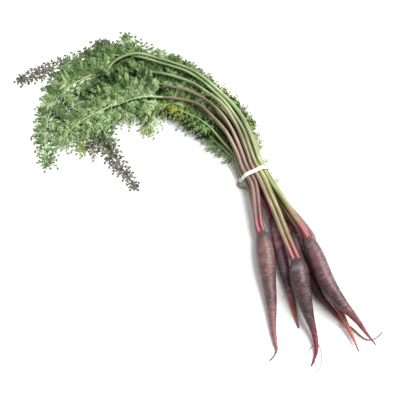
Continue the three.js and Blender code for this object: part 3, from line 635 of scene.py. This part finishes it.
LEAF_LOOK = {
    "1a": {"stalk": "mauve", "tone": 0.72},
    "1b": {"stalk": "mauve", "tone": 0.5, "yellow": (0.7, 1, 0.35)},
    "1c": {"stalk": "green", "tone": 0.42, "yellow": (0.4, 1, 0.7)},
    "2a": {"stalk": "magenta", "tone": 0.62, "yellow": (0.1, 0.8, 0.25)},
    "2b": {"stalk": "magenta", "tone": 0.26},
    "2c": {"stalk": "magenta", "tone": 0.44},
    "3a": {"stalk": "tan", "tone": 0.63},
    "3b": {"stalk": "green", "tone": 0.46, "dry": (0.38, 0.85, 0.95)},
    "3c": {"stalk": "green", "tone": 0.52, "dry": (0.5, 1, 0.5)},
    "4a": {"stalk": "dark green", "tone": 0.36},
    "4b": {"stalk": "dark green", "tone": 0.46},
    "5a": {"stalk": "green", "tone": 0.7, "dry": (0.45, 0.62, 0.9)},
    "5b": {"stalk": "tan", "tone": 0.56},
    "5c": {"stalk": "green", "tone": 0.5, "yellow": (0, 0.4, 0.3)},
    "6a": {"stalk": "dark green", "tone": 0.5, "yellow": (0, 0.4, 0.25)},
    "6b": {"stalk": "dark green", "tone": 0.6, "yellow": (0, 0.4, 0.4)},
}


def stalk_skin(tone):
    """Ribbed stalk: red at the crown, then pink or yellow-green, then green, with lengthwise streaks of
    painted highlight and painted shade.
    """
    skin = Skin(f"stalk_{tone}".replace(" ", "_"), IOR=1.42, Coat_Weight=0.1, Coat_Roughness=0.35)
    place = skin.carried("skin", vector=True)
    streaks = skin.grain(place, (0.03, 1.3, 1.3), detail=2)
    patches = skin.grain(place, (0.05, 0.2, 0.2), detail=3)
    colour = skin.ramp(skin.carried("rise"), STALK_TONES[tone])
    # Painted highlight along the raised streaks
    colour = skin.mix(skin.span(streaks, 0.53, 0.64, 0, 0.42), colour, rgb(196, 188, 150))
    # Painted shade along the low streaks
    colour = skin.mix(skin.span(streaks, 0.49, 0.38, 0, 0.8), colour, rgb(54, 38, 30))
    colour = skin.mix(skin.span(patches, 0.55, 0.7, 0, 0.35), colour, rgb(98, 72, 62))
    return skin.finish(colour, skin.span(patches, 0.3, 0.7, 0.36, 0.5), streaks, 0.2)


def ribbed(turn):
    """A stalk's section: the share of its radius in each direction round it."""
    return 1 + RIB_DEPTH * np.cos(RIBS * turn) + 0.5 * RIB_DEPTH * np.cos(3 * turn)


def make_stalk(name, middles, radii, skins):
    """One stalk, from inside its crown to the foot of its blade."""
    first = middles[1] - middles[0]
    start = middles[0] - first / np.linalg.norm(first) * INTO_CROWN
    line, radius, at = resampled(np.vstack([start, middles]), np.append(radii[0], radii), STALK_RING)
    radius *= 1 + BASE_FLARE * np.exp(-at / FLARE_LENGTH)
    shape = Shape()
    shape.tube(line, radius, STALK_SIDES, ribbed, rise=np.clip(at / STALK_FADE, 0, 1))
    rest_on_table(shape.points[0])
    shape.piece(f"stem_{name}", skins[LEAF_LOOK[name]["stalk"]], "stalk", f"stalk_{name}")


# Leaves

MIDRIB_SIDES = 8
RACHILLA_SIDES = 5
RACHILLA_POINTS = 9
RACHILLA_RADII = (0.5, 0.18)
PINNULE_SPACING = 4.2
PINNULE_LEANS = (math.radians(54), math.radians(26))
PINNULE_KINDS = 8
SHORTEST_PINNULE = 3.8
# Painted shade on leaves that lie under others: the grid cell for the top of the pile, and the depths
# below it where the shade starts and where it is full
SHADE_CELL = 2.5
GRID_MIDDLE = 120
SHADE_FROM = 0.8
SHADE_TO = 6.5
TIP_LEAFLET = 0.85
BETWEEN_LEAFLET = 0.9
FURTHEST_APART = 34
RACHILLA_LIFT = 0.2
FIRST_PINNULE = 0.05
PINNULE_ROW = 0.88
LAST_PINNULE = 0.86
LAST_PINNULE_SIZE = 0.45
PINNULE_SIZE = 1.4
PINNULE_SHRINK = 0.72
DRY_CURL = 1.2
DRY_NARROWING = 0.15
DRY_ENOUGH = 0.02
MIDRIB_LIGHTER = 0.3
RACHILLA_LIGHTER = 0.2
NO_CHANGE = (0, 1, 0)
PINNULE_SEED = 7

# Small sprigs: the leaf they belong to, their foot and tip in the photograph, half width, how dry and
# how yellow they are
SPRIGS = [
    ("6b", (270, 190), (279, 177), 6, 0, 0.25),
    ("6b", (266, 182), (272, 172), 4.5, 0, 0.2),
    ("6b", (256, 164), (270, 159), 5.5, 0, 0.2),
    ("6b", (251, 152), (264, 145), 7, 0, 0.2),
    ("6b", (248, 143), (261, 134), 7, 0, 0.1),
    ("6b", (245, 134), (257, 125), 7, 0, 0.1),
    ("6a", (240, 124), (253, 115), 7, 0, 0.1),
    ("6a", (236, 116), (249, 105), 7, 0, 0.2),
    ("3a", (76, 84), (94, 100), 9, 0, 0),
    ("3a", (62, 92), (82, 110), 9, 0, 0),
    ("3a", (54, 104), (74, 122), 9, 0, 0),
    ("3a", (49, 120), (68, 136), 8, 0, 0),
    ("1a", (133, 107), (107, 122), 9, 0, 0.1),
    ("1a", (116, 108), (100, 132), 8, 0, 0),
    ("5a", (99, 138), (86, 147), 5.5, 0.75, 0),
    ("5a", (97, 143), (93, 163), 6, 0.8, 0),
    ("5a", (106, 136), (116, 155), 5.5, 0.65, 0),
]
SPRIG_HEIGHTS = (7, 4)


def segment(x, y, turn, length, width):
    """One pointed segment of a leaflet, with a tooth on each side and a fold along its middle."""
    outline = np.array([
        (0, 0), (0.26, 0.6), (0.56, 1.1), (0.56, 0.5), (1.08, 0),
        (0.56, -0.5), (0.56, -1.1), (0.26, -0.6), (0.4, 0),
    ])
    height = np.array([0, 0.1, 0.16, 0.06, -0.06, 0.06, 0.16, 0.1, -0.04]) * length
    along = outline[:, 0] * length
    aside = outline[:, 1] * width
    points = np.stack([
        x + along * math.cos(turn) - aside * math.sin(turn),
        y + along * math.sin(turn) + aside * math.cos(turn),
        height,
    ], axis=1)
    faces = np.array([(8, (k + 1) % 8, k) for k in range(8)])
    vein = np.array([0.6, 0, 0, 0, 0.2, 0, 0, 0, 1])
    return points, faces, vein


def pinnule(draw):
    """A leaflet of the second order, one unit long, cut into pairs of toothed segments."""
    pairs = draw.choice([3, 4, 4])
    parts = [segment(0.56, 0, draw.uniform(-0.08, 0.08), 0.44, 0.1)]
    for j in range(pairs):
        share = j / pairs
        for side in (1, -1):
            turn = side * math.radians(draw.uniform(28, 40) - 8 * share)
            length = (0.42 - 0.2 * share) * draw.uniform(0.85, 1.12)
            parts.append(segment(0.08 + 0.62 * share, 0, turn, length, 0.24 * length))
    axis = np.array([(0, 0.035, 0), (0, -0.035, 0), (0.75, 0, 0)])
    parts.append((axis, np.array([(0, 1, 2)]), np.ones(3)))
    points = np.concatenate([part[0] for part in parts])
    offsets = np.cumsum([0] + [len(part[0]) for part in parts])
    faces = np.concatenate([part[1] + offset for part, offset in zip(parts, offsets)])
    twist = draw.uniform(-0.5, 0.5)
    points[:, 2] += 0.14 * np.abs(points[:, 1]) + twist * points[:, 0] * points[:, 1]
    points[:, 2] -= draw.uniform(0.05, 0.3) * points[:, 0] ** 2
    return points, faces, np.concatenate([part[2] for part in parts])


def drape(surface, spots):
    """The height of a CAD leaflet at places beside and on it, from its points nearby."""
    apart = ((spots[:, None, :2] - surface[None, :, :2]) ** 2).sum(axis=2)
    weights = 1 / (apart + 4) ** 1.5
    return (weights * surface[:, 2]).sum(axis=1) / weights.sum(axis=1)


def pinnule_places(length, half_width, draw):
    """How far along the rib each small leaflet sits, how it leans and how long it is."""
    placed = [(LAST_PINNULE * length, 0, max(SHORTEST_PINNULE, LAST_PINNULE_SIZE * half_width))]
    pairs = max(3, round(length / PINNULE_SPACING))
    for j in range(pairs):
        share = (j + 0.3) / pairs
        lean = PINNULE_LEANS[0] + (PINNULE_LEANS[1] - PINNULE_LEANS[0]) * share
        size = max(SHORTEST_PINNULE, PINNULE_SIZE * half_width * (1 - PINNULE_SHRINK * share ** 1.2))
        for side in (1, -1):
            place = length * (FIRST_PINNULE + PINNULE_ROW * share)
            place += draw.uniform(-0.25, 0.25) * PINNULE_SPACING
            placed.append((place, side * lean * draw.uniform(0.88, 1.1), size * draw.uniform(0.82, 1.15)))
    return placed


def add_pinna(shape, pinna, look, kinds, draw):
    """One side leaflet: a thin rib with pairs of cut leaflets, lying as the CAD leaflet lies."""
    base = pinna["base"]
    length = np.linalg.norm(pinna["span"])
    ahead = pinna["span"] / length
    aside = np.array([-ahead[1], ahead[0]])
    known = np.vstack([base, pinna["surface"]])
    tint = look["tone"] + draw.uniform(-0.18, 0.18)
    rib = np.linspace(0, length, RACHILLA_POINTS)
    line = np.column_stack([base[:2] + rib[:, None] * ahead, np.zeros(RACHILLA_POINTS)])
    line[:, 2] = drape(known, line) + RACHILLA_LIFT
    line[0, 2] = base[2]
    carried = {"tint": tint + RACHILLA_LIGHTER, "dry": look["dry"], "yellow": look["yellow"], "vein": 1}
    shape.tube(
        line, np.linspace(*RACHILLA_RADII, RACHILLA_POINTS), RACHILLA_SIDES,
        **{key: np.full(RACHILLA_POINTS, value) for key, value in carried.items()},
    )
    for place, lean, size in pinnule_places(length, pinna["half_width"], draw):
        template, faces, vein = draw.choice(kinds)
        along = template[:, 0] * size
        sideways = template[:, 1] * size * (1 - DRY_NARROWING * look["dry"])
        t = place + along * math.cos(lean) - sideways * math.sin(lean)
        n = along * math.sin(lean) + sideways * math.cos(lean)
        spots = np.column_stack([base[:2] + t[:, None] * ahead + n[:, None] * aside, np.zeros(len(t))])
        lift = draw.uniform(-0.14, 0.28) * along
        curl = 1 + DRY_CURL * look["dry"]
        spots[:, 2] = drape(known, spots) + template[:, 2] * size * curl + lift
        rest_on_table(spots)
        tone = tint + draw.uniform(-0.36, 0.32)
        dry = look["dry"] + draw.uniform(-0.12, 0.12) * (look["dry"] > DRY_ENOUGH)
        yellow = look["yellow"] * draw.uniform(0.6, 1.2)
        values = {"tint": tone, "dry": min(1, max(0, dry)), "yellow": yellow}
        spread = {key: np.full(len(spots), value) for key, value in values.items()}
        shape.add(spots, faces, skin=spots.copy(), vein=vein, **spread)


def fading(limits, share):
    """How far a change has gone at a share of the leaf: limits are its start, its end and its strength."""
    low, high, most = limits
    return most * min(1, max(0, (share - low) / (high - low)))


def condition(name, share):
    """A leaf's tone, and how withered and how yellow it is at a share of its length."""
    look = LEAF_LOOK[name]
    changes = {key: fading(look.get(key, NO_CHANGE), share) for key in ("dry", "yellow")}
    return {"tone": look["tone"], **changes}


def make_leaf(name, middles, radii, pinnae, kinds):
    """A leaf's blade: its midrib, its side leaflets and the sprigs that belong to it."""
    draw = random.Random(f"leaf {name}")
    shape = Shape()
    line, radius, at = resampled(middles, radii, STALK_RING)
    states = [condition(name, share) for share in at / at[-1]]
    shape.tube(
        line, radius, MIDRIB_SIDES, tint=np.array([state["tone"] + MIDRIB_LIGHTER for state in states]),
        dry=np.array([state["dry"] for state in states]),
        yellow=np.array([state["yellow"] for state in states]), vein=np.ones(len(at)),
    )
    for pinna in filled(middles, pinnae):
        add_pinna(shape, pinna, condition(name, pinna["at"] / at[-1]), kinds, draw)
    for owner, foot, tip, half_width, dry, yellow in SPRIGS:
        if owner == name:
            state = {"tone": LEAF_LOOK[name]["tone"], "dry": dry, "yellow": yellow}
            add_pinna(shape, sprig(foot, tip, half_width), state, kinds, draw)
    rest_on_table(shape.points[0])
    return shape


def sprig(foot, tip, half_width):
    """A small leaflet between two pixels of the photograph, from a stalk's side down to the table."""
    base = seen(*foot, SPRIG_HEIGHTS[0])
    end = seen(*tip, SPRIG_HEIGHTS[1])
    return {"base": base, "span": (end - base)[:2], "surface": end[None], "half_width": half_width}


def cells(points):
    """The row and column of each point on a grid that covers the table."""
    return tuple((points[:, :2].T / SHADE_CELL + GRID_MIDDLE).astype(int))


def mark_painted_shade(shapes, stalks):
    """Gives each leaf point a value from 0 to 1 for how far it lies below the top of the pile, used as
    painted shade.
    """
    top = np.zeros((2 * GRID_MIDDLE, 2 * GRID_MIDDLE))
    for middles, radii in stalks:
        line, radius, _ = resampled(middles, radii, SHADE_CELL / 2)
        np.maximum.at(top, cells(line), line[:, 2] + radius)
    for shape in shapes.values():
        points = np.concatenate(shape.points)
        np.maximum.at(top, cells(points), points[:, 2])
    for shape in shapes.values():
        points = np.concatenate(shape.points)
        depth = top[cells(points)] - points[:, 2]
        shape.values["painted_shade"] = [np.clip((depth - SHADE_FROM) / (SHADE_TO - SHADE_FROM), 0, 1)]


def leaf_skin():
    """Matt green, lighter along the veins, with withered grey-brown and yellow parts, and painted shade
    (darker, less reflective) where a leaf lies under others.
    """
    skin = Skin("leaf_green", IOR=1.4)
    place = skin.carried("skin", vector=True)
    tint = skin.carried("tint")
    cloud = skin.grain(place, 0.35, detail=3)
    painted_shade = skin.carried("painted_shade")
    colour = skin.ramp(tint, [
        (0, rgb(22, 40, 14)), (0.25, rgb(44, 72, 26)), (0.5, rgb(80, 112, 52)),
        (0.75, rgb(118, 148, 90)), (1, rgb(174, 196, 144)),
    ])
    colour = skin.mix(skin.span(cloud, 0.42, 0.64, 0, 0.5), colour, rgb(36, 62, 26))
    colour = skin.mix(skin.span(skin.carried("vein"), 0.1, 1, 0, 0.3), colour, rgb(170, 190, 132))
    colour = skin.mix(skin.span(skin.carried("yellow"), 0, 1, 0, 0.85), colour, rgb(172, 172, 62))
    withered = skin.mix(skin.span(cloud, 0.38, 0.6), rgb(66, 60, 54), rgb(140, 138, 120))
    colour = skin.mix(skin.span(skin.carried("dry"), 0.15, 0.9), colour, withered)
    # Painted shade: leaf points lying under others in the pile are darkened and lose their reflection of
    # the light
    colour = skin.mix(skin.span(painted_shade, 0, 1, 0, 0.8), colour, rgb(20, 34, 8))
    skin.feed(skin.shader.inputs["Specular IOR Level"], skin.span(painted_shade, 0, 0.6, 0.4, 0.05))
    return skin.finish(colour, skin.span(cloud, 0.3, 0.7, 0.48, 0.62), cloud, 0.15)


# Tie


def hull(points):
    """The convex outline of plane points, anticlockwise."""
    ordered = sorted(map(tuple, points))
    halves = []
    for run in (ordered, ordered[::-1]):
        chain = []
        for p in run:
            while len(chain) > 1:
                (ax, ay), (bx, by) = chain[-2:]
                if (bx - ax) * (p[1] - ay) - (by - ay) * (p[0] - ax) > 0:
                    break
                chain.pop()
            chain.append(p)
        halves += chain[:-1]
    return np.array(halves)


def tie_outline(stalks):
    """The closed line that the band follows round the stalks: across, up."""
    middle = seen(*TIE_PLACE, 9)
    rim = []
    for middles, radii in stalks:
        line, radius, _ = resampled(middles, radii, 1)
        ahead = (line - middle) @ BUNDLE_HEADING
        for i in np.flatnonzero(np.abs(ahead) < TIE_WIDTH / 2 + 0.5):
            turn = 2 * math.pi * np.arange(16) / 16
            reach = radius[i] + TIE_SLACK + TIE_THICKNESS / 2
            centre = np.array([(line[i] - middle) @ BUNDLE_RIGHT, line[i][2]])
            rim.append(centre + reach * np.stack([np.cos(turn), np.sin(turn)], axis=1))
    outline = hull(np.concatenate(rim))
    outline = np.vstack([outline, outline[0]])
    at = np.linspace(0, 1, 160, endpoint=False)
    knots = np.concatenate([[0], np.cumsum(np.hypot(*np.diff(outline, axis=0).T))])
    line = np.stack([np.interp(at * knots[-1], knots, outline[:, k]) for k in range(2)], axis=1)
    for _ in range(6):
        line = (np.roll(line, 1, axis=0) + line + np.roll(line, -1, axis=0)) / 3
    line[:, 1] = np.maximum(line[:, 1], TIE_THICKNESS / 2 + 0.05)
    return middle, line


def make_tie(stalks):
    """The elastic band, its knot and its slack loop."""
    shape = Shape()
    middle, outline = tie_outline(stalks)
    count = len(outline)
    side = np.roll(outline, -1, axis=0) - np.roll(outline, 1, axis=0)
    out = np.stack([side[:, 1], -side[:, 0]], axis=1) / np.hypot(*side.T)[:, None]
    half = (TIE_WIDTH / 2, TIE_THICKNESS / 2)
    corners = [(-1, 0), (-0.94, 0.75), (-0.7, 1), (0, 0.9), (0.7, 1), (0.94, 0.75), (1, 0), (0.94, -0.75),
               (0.7, -1), (0, -1), (-0.7, -1), (-0.94, -0.75)]
    wave = 0.25 * np.sin(np.arange(count) * 2 * math.pi * 5 / count)
    points = []
    for i in range(count):
        for along, outward in corners:
            flat = outline[i] + out[i] * outward * half[1]
            spot = middle + BUNDLE_RIGHT * flat[0] + BUNDLE_HEADING * (along * half[0] + wave[i])
            spot[2] = flat[1]
            points.append(spot)
    points = np.array(points)
    around = len(corners)
    faces = [
        (i * around + k, i * around + (k + 1) % around,
         (i + 1) % count * around + (k + 1) % around, (i + 1) % count * around + k)
        for i in range(count) for k in range(around)
    ]
    lanes = np.tile([along * half[0] for along, _ in corners], count)
    skin = np.stack([lanes, lanes * 0, points[:, 0]], axis=1)
    shape.add(points, faces, skin=skin, soiled=np.zeros(len(points)))
    leftmost = outline[outline[:, 0].argmin()]
    knot = middle + BUNDLE_RIGHT * (leftmost[0] - 1)
    knot[2] = leftmost[1] - 1.5
    turn = np.linspace(0, 2 * math.pi, 60)
    trefoil = np.stack([
        np.sin(turn) + 2 * np.sin(2 * turn), np.cos(turn) - 2 * np.cos(2 * turn), -np.sin(3 * turn),
    ], axis=1)
    shape.tube(knot + KNOT_TURN * trefoil, np.full(60, CORD_RADIUS), 8, soiled=np.full(60, 0.35))
    loop = np.array([knot] + [seen(*place, LOOP_HEIGHT) for place in LOOP_PLACES] + [knot])
    line, radii, _ = resampled(loop, np.full(len(loop), CORD_RADIUS), 0.8)
    shape.tube(line, radii, 8, soiled=np.full(len(line), 0.3))
    end = np.array([seen(*place, LOOP_HEIGHT) for place in TWIST_PLACES])
    line, radii, at = resampled(end, np.full(len(end), TWIST_CORD), 0.5)
    _, right, up = across(line)
    for start in (0, math.pi):
        turn = (start + 2 * math.pi * TWIST_TURNS * at / at[-1])[:, None]
        strand = line + TWIST_RADIUS * (np.cos(turn) * right + np.sin(turn) * up)
        shape.tube(strand, radii, 6, soiled=np.ones(len(at)))
    for part in shape.points:
        rest_on_table(part)
    shape.piece("elastic_tie", tie_skin(), "tie", "tie")


def tie_skin():
    """White elastic with fine lengthwise ribs."""
    skin = Skin("tie_white")
    place = skin.carried("skin", vector=True)
    ribs = skin.grain(place, (3.2, 3.2, 0.25), detail=2)
    colour = skin.mix(skin.span(ribs, 0.35, 0.65), rgb(208, 204, 196), rgb(244, 243, 239))
    # Browner and darker on the knot, the loop and the twisted end
    colour = skin.mix(skin.carried("soiled"), colour, rgb(158, 140, 116))
    return skin.finish(colour, skin.span(ribs, 0.3, 0.7, 0.45, 0.6), ribs, 0.15)


# Stage


TABLE_REACH = 3
SKY_STRENGTH = 0.55
LAMP_SIZE = 0.9
LAMP_POWER = 35
LAMP_PLACE = (0.75, 0.35, 1.1)


def make_stage():
    """A white table, a wide soft light at the right and behind, and the photograph's camera."""
    mesh = bpy.data.meshes.new("table")
    corners = [(TABLE_REACH * x, TABLE_REACH * y, 0) for x, y in ((-1, -1), (1, -1), (1, 1), (-1, 1))]
    mesh.from_pydata(corners, [], [(0, 1, 2, 3)])
    table = bpy.data.objects.new("table", mesh)
    bpy.context.scene.collection.objects.link(table)
    skin = Skin("table_white")
    place = skin.tree.nodes.new("ShaderNodeTexCoord").outputs["Object"]
    faint = skin.grain(place, 40.0, detail=2)
    mesh.materials.append(skin.finish(skin.mix(faint, rgb(250, 250, 250), rgb(254, 254, 254)), 0.9))

    world = bpy.data.worlds.new("studio")
    world.use_nodes = True
    sky = world.node_tree.nodes["Background"]
    sky.inputs["Color"].default_value = (1, 1, 1, 1)
    sky.inputs["Strength"].default_value = SKY_STRENGTH
    bpy.context.scene.world = world

    light = bpy.data.lights.new("softbox", "AREA")
    light.shape = "RECTANGLE"
    light.size = LAMP_SIZE
    light.size_y = LAMP_SIZE
    light.energy = LAMP_POWER
    lamp = bpy.data.objects.new("softbox", light)
    lamp.location = LAMP_PLACE
    lamp.rotation_euler = (-lamp.location).to_track_quat("-Z", "Y").to_euler()
    bpy.context.scene.collection.objects.link(lamp)

    lens = bpy.data.cameras.new("photograph")
    lens.lens = LENS
    lens.sensor_width = SENSOR
    camera = bpy.data.objects.new("photograph", lens)
    target = Vector(seen(VIEW_MIDDLE, VIEW_MIDDLE, 0)) * MM
    back = Vector((0, -math.cos(VIEW_ELEVATION), math.sin(VIEW_ELEVATION)))
    camera.location = target + back * VIEW_DISTANCE * MM
    camera.rotation_euler = (-back).to_track_quat("-Z", "Y").to_euler()
    bpy.context.scene.collection.objects.link(camera)
    bpy.context.scene.camera = camera
    bpy.context.scene.view_settings.view_transform = "Standard"


# The bunch

make_stage()
for number in ROOT_NUMBERS:
    make_root(number)

stalk_skins = {tone: stalk_skin(tone) for tone in STALK_TONES}
leaf_green = leaf_skin()
kinds_draw = random.Random(PINNULE_SEED)
pinnule_kinds = [pinnule(kinds_draw) for _ in range(PINNULE_KINDS)]
stalks = []
fronds = {}
for name in LEAF_LOOK:
    middles, radii = tube_rings(f"stalk_{name}")
    rib, rib_radii, pinnae = read_blade(name, middles[-1], radii[-1])
    make_stalk(name, np.vstack([middles, rib[:1]]), np.append(radii, rib_radii[:1]), stalk_skins)
    fronds[name] = make_leaf(name, rib, rib_radii, pinnae, pinnule_kinds)
    stalks.append((middles, radii))
mark_painted_shade(fronds, stalks)
for name, shape in fronds.items():
    shape.piece(f"frond_{name}", leaf_green, "leaf", f"leaf_{name}")
make_tie(stalks)
